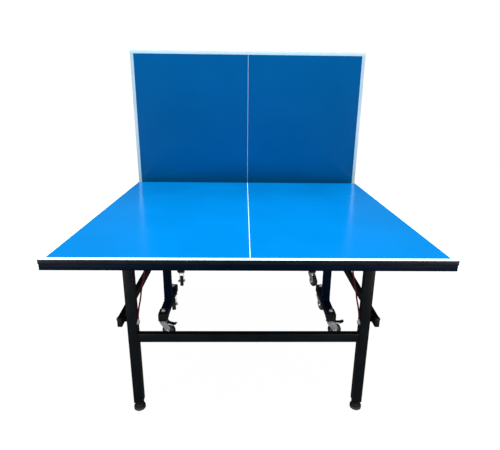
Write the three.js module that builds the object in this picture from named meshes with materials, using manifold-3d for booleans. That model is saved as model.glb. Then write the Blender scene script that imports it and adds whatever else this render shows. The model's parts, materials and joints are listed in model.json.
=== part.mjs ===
// A two-piece folding ping pong table. Millimetres, +Z up, origin on the floor at the middle of the table.
// The front half lies flat for play and the rear half stands upright behind it, as a rebound board.
// Each half is its own wheeled carriage that carries a hinged top. A parallelogram of top, leg frame,
// link bars and posts keeps the legs upright while the top turns between flat and upright.

import * as THREE from 'three';
import { mergeVertices } from 'three/addons/utils/BufferGeometryUtils.js';
import Module from 'manifold-3d';

const wasm = await Module();
wasm.setup();

// --- driving dimensions -------------------------------------------------------------------------

const [X, Y, Z] = [0, 1, 2];
const GAP = 0.3; // clearance between pieces that touch
const STEEL_WALL = 1.5;
const PLUG = 3; // thickness of the plugs and plates that close a tube's end
const CLOSED = [PLUG, PLUG];

// the top
const PLAY_HEIGHT = 760;
const TABLE_WIDTH = 1525;
const HALF_LENGTH = 1370;
const BOARD_THICKNESS = 18;
const APRON_SIZE = 25;
const APRON_INSET = 1.5;

// the hinge between a top and its carriage
const HINGE_HEIGHT = 720;
const HINGE_TO_END = 884;
const STANDING_GAP = 87; // from the flat half's net edge to the standing half's playing face
const PIN_RADIUS = 5;
const PIN_HOLE_RADIUS = 5.35;
const LUG_RADIUS = 10;
const LUG_THICKNESS = 6;

// the rails that hold the hinges, one on each side
const RAIL_INNER_X = 430;
const RAIL_OUTER_X = 450;
const RAIL_LUG_RADIUS = 12;

// the carriage: a post on a base bar, on each side
const FRAME_OUTER_X = 500;
const POST_WIDTH = 45;
const POST_DEPTH = 40;
const POST_OFFSET = 26; // from the hinge out to the middle of the post
const POST_TOP = 712;
const BASE_LENGTH = 376;
const BASE_BOTTOM = 102;
const BASE_TOP = 150;
const CARRIAGE_BAR_DEPTH = 30;
const CARRIAGE_BAR_BOTTOM = 560;
const CARRIAGE_BAR_TOP = 600;

// the legs
const LEG_SIZE = 40;
const LEG_HINGE_OUT = 728; // from the top's hinge to the leg's hinge
const LEG_HINGE_DROP = 8;
const LEG_TOP = 10; // over the leg's hinge
const LEG_END_HEIGHT = 40;
const LEG_BAR_BOTTOM = 343;
const LEG_BAR_TOP = 383;
const LEG_BAR_DEPTH = 25;
const FOOT_RADIUS = 25;
const FOOT_STEM_RADIUS = 5;
const FOOT_STEM_TOP = 95;

// the link bars, outside the posts and legs
const LINK_INNER_X = 515;
const LINK_OUTER_X = 535;
const LINK_HEIGHT = 40;
const LINK_DROP = 269; // from each hinge down to the link's bolt
const LINK_OVERHANG = 30;
const LINK_BOLT_RADIUS = 6;
const LINK_HOLE_RADIUS = 6.4;
const SPACER_RADIUS = 11;

// the casters
const CASTER_SPREAD = 160; // from the post's middle to each kingpin
const CASTER_TRAIL = 28;
const WHEEL_RADIUS = 37.5;
const WHEEL_WIDTH = 24;
const AXLE_RADIUS = 6;
const CROWN_RADIUS = 24;
const CROWN_BOTTOM = 92;
const CROWN_TOP = 97;
const CHEEK_INNER = 14.5;
const CHEEK_THICKNESS = 2.5;
const KINGPIN_RADIUS = 5.5;
const PEDAL_PIVOT = [14, 84];
const PEDAL_REACH = 78;
const PIVOT_RADIUS = 3;
const PEDAL_PRESS = 6; // degrees

// the release cable
const CABLE_RADIUS = 3;
const CABLE_SIDES = 8;
const CABLE_STEPS = 18;

const SURFACE_OVER_HINGE = PLAY_HEIGHT - HINGE_HEIGHT;
const BOARD_BOTTOM = SURFACE_OVER_HINGE - BOARD_THICKNESS;
const APRON_TOP = BOARD_BOTTOM - GAP;
const APRON_BOTTOM = BOARD_BOTTOM - APRON_SIZE;
const NET_EDGE = HINGE_TO_END - HALF_LENGTH;
const HALF_WIDTH = TABLE_WIDTH / 2;
const BASE_REACH = POST_OFFSET + BASE_LENGTH / 2;
const POST_INNER_X = FRAME_OUTER_X - POST_WIDTH;
const LEG_INNER_X = FRAME_OUTER_X - LEG_SIZE;
const POST_MIDDLE_X = FRAME_OUTER_X - POST_WIDTH / 2;
const LEG_MIDDLE_X = FRAME_OUTER_X - LEG_SIZE / 2;
const LINK_LENGTH = Math.hypot(LEG_HINGE_OUT, LEG_HINGE_DROP);
const TABLE_DEPTH = HALF_LENGTH + STANDING_GAP + SURFACE_OVER_HINGE + BASE_REACH;
const LEG_HINGE_HEIGHT = HINGE_HEIGHT - LEG_HINGE_DROP;

// --- finishes -----------------------------------------------------------------------------------

const FINISHES = {
  blueBoard: { color: 0x0a78d8, roughness: 0.25, metalness: 0 },
  blackSteel: { color: 0x14171c, roughness: 0.45, metalness: 0.3 },
  zinc: { color: 0xb8bcc0, roughness: 0.35, metalness: 0.9 },
  greyRubber: { color: 0x303236, roughness: 0.8, metalness: 0 },
  blackRubber: { color: 0x101010, roughness: 0.7, metalness: 0 },
  blackPlastic: { color: 0x17181a, roughness: 0.5, metalness: 0 },
  redCable: { color: 0x5a1020, roughness: 0.5, metalness: 0 },
};

function piece(name, geometry, finish, parent) {
  const mesh = new THREE.Mesh(geometry, new THREE.MeshStandardMaterial(FINISHES[finish]));
  mesh.name = name;
  parent.add(mesh);
  return mesh;
}

// --- solids -------------------------------------------------------------------------------------

function solid(geometry) {
  const bare = geometry.clone();
  bare.deleteAttribute('normal');
  bare.deleteAttribute('uv');
  const merged = mergeVertices(bare, 1e-4);
  return new wasm.Manifold(new wasm.Mesh({
    numProp: 3,
    vertProperties: Float32Array.from(merged.attributes.position.array),
    triVerts: Uint32Array.from(merged.index.array),
  }));
}

function surface(manifold) {
  const mesh = manifold.getMesh();
  const geometry = new THREE.BufferGeometry();
  geometry.setAttribute('position', new THREE.BufferAttribute(Float32Array.from(mesh.vertProperties), 3));
  geometry.setIndex(new THREE.BufferAttribute(Uint32Array.from(mesh.triVerts), 1));
  geometry.computeVertexNormals();
  return geometry;
}

// a box between any two opposite corners
function block(a, b) {
  const low = a.map((value, axis) => Math.min(value, b[axis]));
  const high = a.map((value, axis) => Math.max(value, b[axis]));
  const size = high.map((value, axis) => value - low[axis]);
  const geometry = new THREE.BoxGeometry(...size);
  geometry.translate(...low.map((value, axis) => value + size[axis] / 2));
  return solid(geometry);
}

// the bore of a box section along one axis; ends is how far its two ends stay inside the section,
// which is below 0 where the section is open and the thickness of the plug where it is closed
function bore(a, b, along, ends = [-1, -1], wall = STEEL_WALL) {
  const low = a.map((value, axis) => Math.min(value, b[axis]) + (axis === along ? ends[0] : wall));
  const high = a.map((value, axis) => Math.max(value, b[axis]) - (axis === along ? ends[1] : wall));
  return block(low, high);
}

function boxSection(a, b, along, ends) {
  return block(a, b).subtract(bore(a, b, along, ends));
}

// a round bar along X, Y or Z; centre gives its place on the two other axes, in their order
function bar(radius, from, to, along, centre, sides = 12) {
  const geometry = new THREE.CylinderGeometry(radius, radius, Math.abs(to - from), sides);
  if (along === X) geometry.rotateZ(-Math.PI / 2);
  if (along === Z) geometry.rotateX(Math.PI / 2);
  const place = [...centre];
  place.splice(along, 0, (from + to) / 2);
  geometry.translate(...place);
  return solid(geometry);
}

function joined(...solids) {
  return solids.reduce((whole, next) => whole.add(next));
}

// an eye plate that stands on a tube's inner wall and reaches over to a hinge axis at (0, height)
function eyePlate(side, innerX, height) {
  const x = [side * innerX, side * (innerX + LUG_THICKNESS)];
  const eye = bar(LUG_RADIUS, x[0], x[1], X, [0, height]);
  const root = block([x[0], 0, height - 30], [x[1], 16, height + LUG_RADIUS]);
  return eye.add(root);
}

function pinHole(side, innerX, height) {
  return bar(PIN_HOLE_RADIUS, side * (innerX - 1), side * (innerX + LUG_THICKNESS + 1), X, [0, height]);
}

// --- the top ------------------------------------------------------------------------------------

function addTop(half, top, sideName) {
  const board = block([-HALF_WIDTH, NET_EDGE, BOARD_BOTTOM], [HALF_WIDTH, HINGE_TO_END, SURFACE_OVER_HINGE]);
  piece(`${half}_top_board`, surface(board), 'blueBoard', top);

  const outerX = HALF_WIDTH - APRON_INSET;
  const end = HINGE_TO_END - APRON_INSET;
  const net = NET_EDGE + APRON_INSET;
  const endApron = boxSection([-outerX, end - APRON_SIZE, APRON_BOTTOM], [outerX, end, APRON_TOP], X);
  const netApron = boxSection([-outerX, net, APRON_BOTTOM], [outerX, net + APRON_SIZE, APRON_TOP], X);
  piece(`${half}_end_apron`, surface(endApron), 'blackSteel', top);
  piece(`${half}_net_apron`, surface(netApron), 'blackSteel', top);

  const from = net + APRON_SIZE + GAP;
  const to = end - APRON_SIZE - GAP;
  for (const side of [-1, 1]) {
    const innerX = side * (outerX - APRON_SIZE);
    const apron = boxSection([innerX, from, APRON_BOTTOM], [side * outerX, to, APRON_TOP], Y);
    piece(`${half}_${sideName(side)}_apron`, surface(apron), 'blackSteel', top);
    piece(`${half}_${sideName(side)}_hinge_rail`, surface(hingeRail(side, from, to)), 'blackSteel', top);
  }
}

function hingeRail(side, from, to) {
  const inner = side * RAIL_INNER_X;
  const outer = side * RAIL_OUTER_X;
  const parts = [boxSection([inner, from, APRON_BOTTOM], [outer, to, APRON_TOP], Y)];
  for (const [eyeX, centre] of [[POST_INNER_X, [0, 0]], [LEG_INNER_X, [LEG_HINGE_OUT, -LEG_HINGE_DROP]]]) {
    parts.push(bar(RAIL_LUG_RADIUS, inner, outer, X, centre));
    parts.push(bar(PIN_RADIUS, outer - side, side * (eyeX + LUG_THICKNESS + 4), X, centre));
  }
  return joined(...parts);
}

// --- the leg frame, in a frame at the legs' hinge --------------------------------------------------

function addLegFrame(half, legFrame, sideName) {
  for (const side of [-1, 1]) {
    piece(`${half}_${sideName(side)}_leg`, surface(leg(side)), 'blackSteel', legFrame);
    const foot = piece(`${half}_${sideName(side)}_foot`, levellingFoot(), 'blackRubber', legFrame);
    foot.position.set(side * LEG_MIDDLE_X, POST_OFFSET, -LEG_HINGE_HEIGHT);
  }
  const reach = LEG_INNER_X - GAP;
  const outerFace = POST_OFFSET + LEG_SIZE / 2 - 2;
  const crossbar = boxSection(
    [-reach, outerFace - LEG_BAR_DEPTH, LEG_BAR_BOTTOM - LEG_HINGE_HEIGHT],
    [reach, outerFace, LEG_BAR_TOP - LEG_HINGE_HEIGHT],
    X,
  );
  piece(`${half}_leg_crossbar`, surface(crossbar), 'blackSteel', legFrame);
}

function leg(side) {
  const low = [side * LEG_INNER_X, POST_OFFSET - LEG_SIZE / 2, LEG_END_HEIGHT - LEG_HINGE_HEIGHT];
  const high = [side * FRAME_OUTER_X, POST_OFFSET + LEG_SIZE / 2, LEG_TOP];
  const stemHole = bar(FOOT_STEM_RADIUS + 0.5, low[2] - 1, low[2] + PLUG + 1, Z, [side * LEG_MIDDLE_X, POST_OFFSET]);
  const tube = joined(boxSection(low, high, Z, CLOSED), linkBolt(side, [POST_OFFSET, -LINK_DROP]));
  return tube
    .add(eyePlate(side, LEG_INNER_X, 0))
    .subtract(stemHole)
    .subtract(pinHole(side, LEG_INNER_X, 0));
}

// the bolt that a link bar turns on, with the spacer that holds the bar off the tube
function linkBolt(side, centre) {
  const root = side * (FRAME_OUTER_X - 1);
  const spacer = bar(SPACER_RADIUS, root, side * (LINK_INNER_X - GAP), X, centre);
  const shank = bar(LINK_BOLT_RADIUS, root, side * (LINK_OUTER_X + 4), X, centre);
  return spacer.add(shank);
}

function levellingFoot() {
  const profile = [
    [0, 0],
    [FOOT_RADIUS - 1, 0],
    [FOOT_RADIUS, 2],
    [FOOT_RADIUS, 14],
    [20, 20],
    [12, 27],
    [FOOT_STEM_RADIUS, 28],
    [FOOT_STEM_RADIUS, FOOT_STEM_TOP],
    [0, FOOT_STEM_TOP],
  ].map(([radius, height]) => new THREE.Vector2(radius, height));
  const geometry = new THREE.LatheGeometry(profile, 16);
  geometry.rotateX(Math.PI / 2);
  return surface(solid(geometry));
}

// --- the carriage, in a frame on the floor under the top's hinge -------------------------------------

function addCarriage(half, carriage, sideName) {
  for (const side of [-1, 1]) {
    piece(`${half}_${sideName(side)}_carriage`, surface(carriageSide(side)), 'blackSteel', carriage);
  }
  const reach = POST_INNER_X - GAP;
  const crossbar = boxSection(
    [-reach, POST_OFFSET - CARRIAGE_BAR_DEPTH / 2, CARRIAGE_BAR_BOTTOM],
    [reach, POST_OFFSET + CARRIAGE_BAR_DEPTH / 2, CARRIAGE_BAR_TOP],
    X,
  );
  piece(`${half}_carriage_crossbar`, surface(crossbar), 'blackSteel', carriage);
}

function carriageSide(side) {
  const inner = side * POST_INNER_X;
  const outer = side * FRAME_OUTER_X;
  const baseLow = [inner, POST_OFFSET - BASE_LENGTH / 2, BASE_BOTTOM];
  const baseHigh = [outer, POST_OFFSET + BASE_LENGTH / 2, BASE_TOP];
  const postLow = [inner, POST_OFFSET - POST_DEPTH / 2, BASE_TOP - STEEL_WALL];
  const postHigh = [outer, POST_OFFSET + POST_DEPTH / 2, POST_TOP];
  let frame = joined(block(baseLow, baseHigh), block(postLow, postHigh));
  frame = frame.subtract(bore(baseLow, baseHigh, Y, CLOSED));
  frame = frame.subtract(bore(postLow, postHigh, Z, [-1, PLUG]));
  frame = joined(frame, linkBolt(side, [POST_OFFSET, HINGE_HEIGHT - LINK_DROP]));
  frame = frame.add(eyePlate(side, POST_INNER_X, HINGE_HEIGHT));
  frame = frame.subtract(pinHole(side, POST_INNER_X, HINGE_HEIGHT));
  for (const end of [-1, 1]) {
    const centre = [side * POST_MIDDLE_X, POST_OFFSET + end * CASTER_SPREAD];
    frame = frame.subtract(bar(KINGPIN_RADIUS + 0.5, BASE_BOTTOM - 1, BASE_BOTTOM + 4, Z, centre));
  }
  return frame;
}

// --- the link bars, in a frame at the post's link bolt, along the bar --------------------------------

function linkBar(side) {
  const low = [side * LINK_INNER_X, -LINK_OVERHANG, -LINK_HEIGHT / 2];
  const high = [side * LINK_OUTER_X, LINK_LENGTH + LINK_OVERHANG, LINK_HEIGHT / 2];
  let tube = boxSection(low, high, Y, CLOSED);
  for (const along of [0, LINK_LENGTH]) {
    tube = tube.subtract(bar(LINK_HOLE_RADIUS, low[0] - side, high[0] + side, X, [along, 0]));
  }
  return tube;
}

// --- the casters, in a frame on the floor under the kingpin, trailing towards +X ----------------------

function casterFork() {
  const crown = bar(CROWN_RADIUS, CROWN_BOTTOM, CROWN_TOP, Z, [0, 0], 20);
  const race = bar(14, CROWN_TOP - 1, BASE_BOTTOM - 0.4, Z, [0, 0]);
  const kingpin = bar(KINGPIN_RADIUS, CROWN_TOP, BASE_BOTTOM + 14, Z, [0, 0]);
  const cheekOuter = CHEEK_INNER + CHEEK_THICKNESS;
  const axle = bar(AXLE_RADIUS, -cheekOuter, cheekOuter, Y, [CASTER_TRAIL, WHEEL_RADIUS]);
  const pivot = bar(PIVOT_RADIUS, -cheekOuter, cheekOuter, Y, PEDAL_PIVOT);
  return joined(crown, race, kingpin, axle, pivot, cheek(CHEEK_INNER), cheek(-cheekOuter));
}

// one cheek of the fork: a plate from the crown down to a round boss at the axle
function cheek(fromY) {
  const outline = new THREE.Shape();
  outline.moveTo(-20, CROWN_BOTTOM + 1);
  outline.lineTo(CASTER_TRAIL - 11, WHEEL_RADIUS - 2);
  outline.absarc(CASTER_TRAIL, WHEEL_RADIUS, 11, Math.PI, 2 * Math.PI, false);
  outline.lineTo(22, CROWN_BOTTOM + 1);
  const geometry = new THREE.ExtrudeGeometry(outline, {
    depth: CHEEK_THICKNESS,
    bevelEnabled: false,
    curveSegments: 6,
  });
  geometry.rotateX(Math.PI / 2);
  geometry.translate(0, fromY + CHEEK_THICKNESS, 0);
  return solid(geometry);
}

function casterWheel() {
  const half = WHEEL_WIDTH / 2;
  const profile = [
    [AXLE_RADIUS + 0.4, -half],
    [WHEEL_RADIUS - 4, -half],
    [WHEEL_RADIUS, -half + 4],
    [WHEEL_RADIUS, half - 4],
    [WHEEL_RADIUS - 4, half],
    [AXLE_RADIUS + 0.4, half],
    [AXLE_RADIUS + 0.4, -half],
  ].map(([radius, height]) => new THREE.Vector2(radius, height));
  const geometry = new THREE.LatheGeometry(profile, 24);
  return surface(solid(geometry));
}

// the brake pedal, in a frame at its pivot
function brakePedal() {
  const halfWidth = CHEEK_INNER - 2;
  const reach = PEDAL_REACH - PEDAL_PIVOT[0];
  const outline = new THREE.Shape();
  outline.moveTo(-6, -4);
  outline.lineTo(16, -4);
  outline.lineTo(reach - 12, 0);
  outline.lineTo(reach, 7);
  outline.lineTo(reach - 3, 10);
  outline.lineTo(reach - 14, 5);
  outline.lineTo(14, 7);
  outline.lineTo(-6, 6);
  const geometry = new THREE.ExtrudeGeometry(outline, { depth: 2 * halfWidth, bevelEnabled: false });
  geometry.rotateX(Math.PI / 2);
  geometry.translate(0, halfWidth, 0);
  const hole = bar(PIVOT_RADIUS + 0.3, -halfWidth - 1, halfWidth + 1, Y, [0, 0]);
  return surface(solid(geometry).subtract(hole));
}

// headings say where each wheel trails, in the whole table's frame; a braked caster's pedal is pressed down
function addCasters(half, carriage, sideName, turn, headings, braked) {
  for (const [end, direction] of [['end', 1], ['net', -1]]) {
    for (const side of [-1, 1]) {
      const name = `${half}_${end}_${sideName(side)}`;
      const caster = new THREE.Group();
      caster.position.set(side * POST_MIDDLE_X, POST_OFFSET + direction * CASTER_SPREAD, 0);
      caster.rotation.z = THREE.MathUtils.degToRad(headings[`${end}_${sideName(side)}`]) - turn;
      carriage.add(caster);
      piece(`${name}_fork`, surface(casterFork()), 'zinc', caster);
      const wheel = piece(`${name}_wheel`, casterWheel(), 'greyRubber', caster);
      wheel.position.set(CASTER_TRAIL, 0, WHEEL_RADIUS);
      if (end === 'end') {
        const pedal = piece(`${name}_brake_pedal`, brakePedal(), 'blackPlastic', caster);
        pedal.position.set(PEDAL_PIVOT[0], 0, PEDAL_PIVOT[1]);
        if (braked === sideName(side)) pedal.rotation.y = THREE.MathUtils.degToRad(PEDAL_PRESS);
      }
    }
  }
}

// --- the release cables, in the carriage's frame, by hand-placed points (outward, height, from the middle)

const FLAT_CABLE = [
  [758, 436, 456],
  [757, 463, 455],
  [742, 493, 453],
  [723, 520, 450],
  [711, 547, 448],
  [695, 570, 446],
  [672, 602, 443],
  [642, 655, 439],
  [620, 695, 438],
  [614, 713, 438],
];
const FOLDED_CABLE = [
  [38, 1172, 456],
  [40, 1158, 455],
  [50, 1139, 453],
  [67, 1130, 450],
  [86, 1138, 447],
  [99, 1163, 445],
  [104, 1198, 443],
  [100, 1236, 441],
  [85, 1271, 440],
  [61, 1300, 438],
  [33, 1321, 438],
  [7, 1334, 438],
];

function releaseCable(side, route) {
  const points = route.map(([outward, height, x]) => new THREE.Vector3(side * x, outward, height));
  const section = new THREE.Shape();
  for (let corner = 0; corner < CABLE_SIDES; corner += 1) {
    const angle = (2 * Math.PI * corner) / CABLE_SIDES;
    const place = [CABLE_RADIUS * Math.cos(angle), CABLE_RADIUS * Math.sin(angle)];
    if (corner === 0) section.moveTo(...place);
    else section.lineTo(...place);
  }
  const geometry = new THREE.ExtrudeGeometry(section, {
    steps: CABLE_STEPS,
    bevelEnabled: false,
    extrudePath: new THREE.CatmullRomCurve3(points, false, 'centripetal'),
  });
  return surface(solid(geometry));
}

// --- one half of the table --------------------------------------------------------------------------

// outward is +1 where the half's end line faces +Y, and -1 where it faces -Y; fold is 0 flat, 90 upright
function addHalf(table, half, { hingeY, outward, foldDegrees, headings, braked, cableRoute }) {
  const turn = outward > 0 ? 0 : Math.PI;
  const fold = THREE.MathUtils.degToRad(foldDegrees);
  const sideName = (side) => (side * outward > 0 ? 'right' : 'left');

  const carriage = new THREE.Group();
  carriage.position.set(0, hingeY, 0);
  carriage.rotation.z = turn;
  table.add(carriage);

  const top = new THREE.Group();
  top.position.set(0, 0, HINGE_HEIGHT);
  top.rotation.x = fold;
  carriage.add(top);

  const legFrame = new THREE.Group();
  legFrame.position.set(0, LEG_HINGE_OUT, -LEG_HINGE_DROP);
  legFrame.rotation.x = -fold;
  top.add(legFrame);

  const links = new THREE.Group();
  links.position.set(0, POST_OFFSET, HINGE_HEIGHT - LINK_DROP);
  links.rotation.x = fold - Math.atan2(LEG_HINGE_DROP, LEG_HINGE_OUT);
  carriage.add(links);

  addTop(half, top, sideName);
  addLegFrame(half, legFrame, sideName);
  addCarriage(half, carriage, sideName);
  addCasters(half, carriage, sideName, turn, headings, braked);
  for (const side of [-1, 1]) {
    piece(`${half}_${sideName(side)}_link_bar`, surface(linkBar(side)), 'blackSteel', links);
    piece(`${half}_${sideName(side)}_release_cable`, releaseCable(side, cableRoute), 'redCable', carriage);
  }
}

const table = new THREE.Group();

addHalf(table, 'front', {
  hingeY: -TABLE_DEPTH / 2 + HINGE_TO_END,
  outward: -1,
  foldDegrees: 0,
  headings: { end_left: -14, end_right: 0, net_left: -79, net_right: -70 },
  braked: 'left',
  cableRoute: FLAT_CABLE,
});

addHalf(table, 'rear', {
  hingeY: TABLE_DEPTH / 2 - BASE_REACH,
  outward: 1,
  foldDegrees: 90,
  headings: { end_left: -75, end_right: -75, net_left: -80, net_right: -65 },
  cableRoute: FOLDED_CABLE,
});

export default table;
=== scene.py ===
"""The looks of a two-piece folding ping pong table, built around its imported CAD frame. Metres, +Z up.

Each half of the table has its own frames, as in the CAD model: the carriage's origin is on the floor under
the hinge, the top's is on the hinge, the leg frame's is on the legs' hinge and the links' is on the posts'
link bolts. In all of them x runs across the table, y runs outward to the end line and z runs up while flat.
"""

import json
import math

import bmesh
import bpy
from mathutils import Matrix, Vector


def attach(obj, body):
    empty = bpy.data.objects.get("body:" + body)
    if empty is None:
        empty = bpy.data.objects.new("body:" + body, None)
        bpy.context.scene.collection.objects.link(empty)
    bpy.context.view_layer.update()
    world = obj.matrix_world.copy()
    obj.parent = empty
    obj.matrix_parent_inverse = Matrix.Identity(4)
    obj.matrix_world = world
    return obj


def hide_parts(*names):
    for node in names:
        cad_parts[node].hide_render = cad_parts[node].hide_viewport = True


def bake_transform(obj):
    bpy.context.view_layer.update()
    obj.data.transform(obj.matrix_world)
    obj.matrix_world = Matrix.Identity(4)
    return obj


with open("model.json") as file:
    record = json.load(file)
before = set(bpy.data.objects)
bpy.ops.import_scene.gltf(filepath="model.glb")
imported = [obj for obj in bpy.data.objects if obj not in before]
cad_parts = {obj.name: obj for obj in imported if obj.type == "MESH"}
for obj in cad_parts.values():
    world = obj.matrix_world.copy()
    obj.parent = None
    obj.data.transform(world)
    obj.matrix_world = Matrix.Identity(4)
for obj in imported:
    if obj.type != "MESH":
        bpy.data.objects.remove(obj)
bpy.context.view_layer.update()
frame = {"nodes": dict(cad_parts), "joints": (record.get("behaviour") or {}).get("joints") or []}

HALVES = ("front", "rear")
SIDES = (-1, 1)

# --- the camera, first ----------------------------------------------------------------------------

CAMERA_PLACE = (-0.0249, -2.1966, 1.3223)
CAMERA_YAW = 0.0193
CAMERA_PITCH = 0.2974
CAMERA_ROLL = -0.0109
CAMERA_LENS = 28.92
CAMERA_SHIFT = (-0.002, -0.0097)


def add_camera():
    data = bpy.data.cameras.new("camera")
    data.sensor_width = 36
    data.lens = CAMERA_LENS
    data.shift_x, data.shift_y = CAMERA_SHIFT
    data.clip_end = 60
    camera = bpy.data.objects.new("camera", data)
    bpy.context.scene.collection.objects.link(camera)
    level = Matrix.Rotation(-CAMERA_YAW, 4, "Z") @ Matrix.Rotation(math.pi / 2 - CAMERA_PITCH, 4, "X")
    camera.matrix_world = Matrix.Translation(CAMERA_PLACE) @ level @ Matrix.Rotation(-CAMERA_ROLL, 4, "Z")
    bpy.context.scene.camera = camera


add_camera()

# --- dimensions that the CAD model shares ---------------------------------------------------------

POST_X = (0.455, 0.500)
LEG_X = (0.460, 0.500)
RAIL_X = (0.430, 0.450)
LINK_X = (0.515, 0.535)
POST_OUT = 0.026  # from a hinge out to the middle of its post or leg
POST_DEPTH = 0.040
POST_TOP = 0.712
BASE_LENGTH = 0.376
BASE_Z = (0.102, 0.150)
LEG_DEPTH = 0.040
LEG_HINGE = (0.728, 0.008)  # out from the top's hinge and down, while flat
LEG_TOP = 0.010
LEG_END_HEIGHT = 0.040
EYE_RADIUS = 0.010
EYE_THICKNESS = 0.006
PIN_RADIUS = 0.005
LINK_DROP = 0.269
CASTER_SPREAD = 0.160
CASTER_TRAIL = 0.028
WHEEL_RADIUS = 0.0375
WHEEL_WIDTH = 0.024
CHEEK_Y = (0.0145, 0.017)
PEDAL_PIVOT = (0.014, 0.084)
PEDAL_REACH = 0.064  # from the pedal's pivot to its tip
FOOT_RADIUS = 0.025
FOOT_STEM = 0.095

# the degrees that each caster is turned about its kingpin
HEADINGS = {
    "front_end_left": -14,
    "front_end_right": 0,
    "front_net_left": -79,
    "front_net_right": -70,
    "rear_end_left": -75,
    "rear_end_right": -75,
    "rear_net_left": -80,
    "rear_net_right": -65,
}
PEDAL_PRESSED = {"front_end_left": 6}  # degrees

# the release cables' routes in the carriage's frame: outward, height, from the middle
CABLE_ROUTES = {
    "front": [
        (0.758, 0.436, 0.456),
        (0.757, 0.463, 0.455),
        (0.742, 0.493, 0.453),
        (0.723, 0.520, 0.450),
        (0.711, 0.547, 0.448),
        (0.695, 0.570, 0.446),
        (0.672, 0.602, 0.443),
        (0.642, 0.655, 0.439),
        (0.620, 0.695, 0.438),
        (0.614, 0.713, 0.438),
    ],
    "rear": [
        (0.038, 1.172, 0.456),
        (0.040, 1.158, 0.455),
        (0.050, 1.139, 0.453),
        (0.067, 1.130, 0.450),
        (0.086, 1.138, 0.447),
        (0.099, 1.163, 0.445),
        (0.104, 1.198, 0.443),
        (0.100, 1.236, 0.441),
        (0.085, 1.271, 0.440),
        (0.061, 1.300, 0.438),
        (0.033, 1.321, 0.438),
        (0.007, 1.334, 0.438),
    ],
}

# --- dimensions of the looks alone ----------------------------------------------------------------

BASE_CAP_LENGTH = 0.056
BASE_CAP_TOP = 0.156
BASE_CAP_WALL = 0.0025
SHEATH_RADIUS = 0.0034  # a little thicker than the CAD model's cable
LINE_WIDTH = 0.020
CENTRE_LINE = 0.0024
WASHER_THICKNESS = 0.0016
BEAD_PITCH = 0.0022
BEAD_STANDOFF = 0.0006  # from the middle of a crossbar's bead to the face that it is welded to


# --- the frames of each half ----------------------------------------------------------------------

def joint_place(name):
    joint = next(j for j in frame["joints"] if j["name"] == name)
    return Vector(joint["pos_m"])


def half_frames(half):
    """The carriage's, top's, leg frame's and links' frames of one half, as matrices in the row frame."""
    hinge = joint_place(f"{half}_top_fold")
    leg_hinge = joint_place(f"{half}_leg_fold") - hinge
    link_bolt = joint_place(f"{half}_left_link_turn")
    outward = 1 if link_bolt.y > hinge.y else -1
    turn = Matrix.Rotation(0 if outward > 0 else math.pi, 4, "Z")
    flat_out, flat_drop = LEG_HINGE
    fold = math.atan2(leg_hinge.z, leg_hinge.y * outward) + math.atan2(flat_drop, flat_out)
    carriage = Matrix.Translation((0, hinge.y, 0)) @ turn
    top = carriage @ Matrix.Translation((0, 0, hinge.z)) @ Matrix.Rotation(fold, 4, "X")
    leg_frame = top @ Matrix.Translation((0, flat_out, -flat_drop)) @ Matrix.Rotation(-fold, 4, "X")
    along = fold - math.atan2(flat_drop, flat_out)
    links = carriage @ Matrix.Translation((0, POST_OUT, link_bolt.z)) @ Matrix.Rotation(along, 4, "X")
    return {"carriage": carriage, "top": top, "leg_frame": leg_frame, "links": links, "outward": outward}


def rest_box(node, place):
    """A CAD node's lowest and highest corners in one of the half's own frames."""
    into = place.inverted()
    corners = [into @ vertex.co for vertex in frame["nodes"][node].data.vertices]
    low = Vector([min(corner[axis] for corner in corners) for axis in range(3)])
    high = Vector([max(corner[axis] for corner in corners) for axis in range(3)])
    return low, high


FRAMES = {half: half_frames(half) for half in HALVES}
LEG_HINGE_HEIGHT = joint_place("front_leg_fold").z
HINGE_HEIGHT = joint_place("front_top_fold").z


def side_name(half, side):
    return "right" if side * FRAMES[half]["outward"] > 0 else "left"


# --- colours and materials ------------------------------------------------------------------------

def srgb(red, green, blue):
    """A linear colour from 0..255 screen values."""
    def linear(value):
        value = value / 255
        return value / 12.92 if value <= 0.04045 else ((value + 0.055) / 1.055) ** 2.4
    return (linear(red), linear(green), linear(blue), 1)


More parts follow.
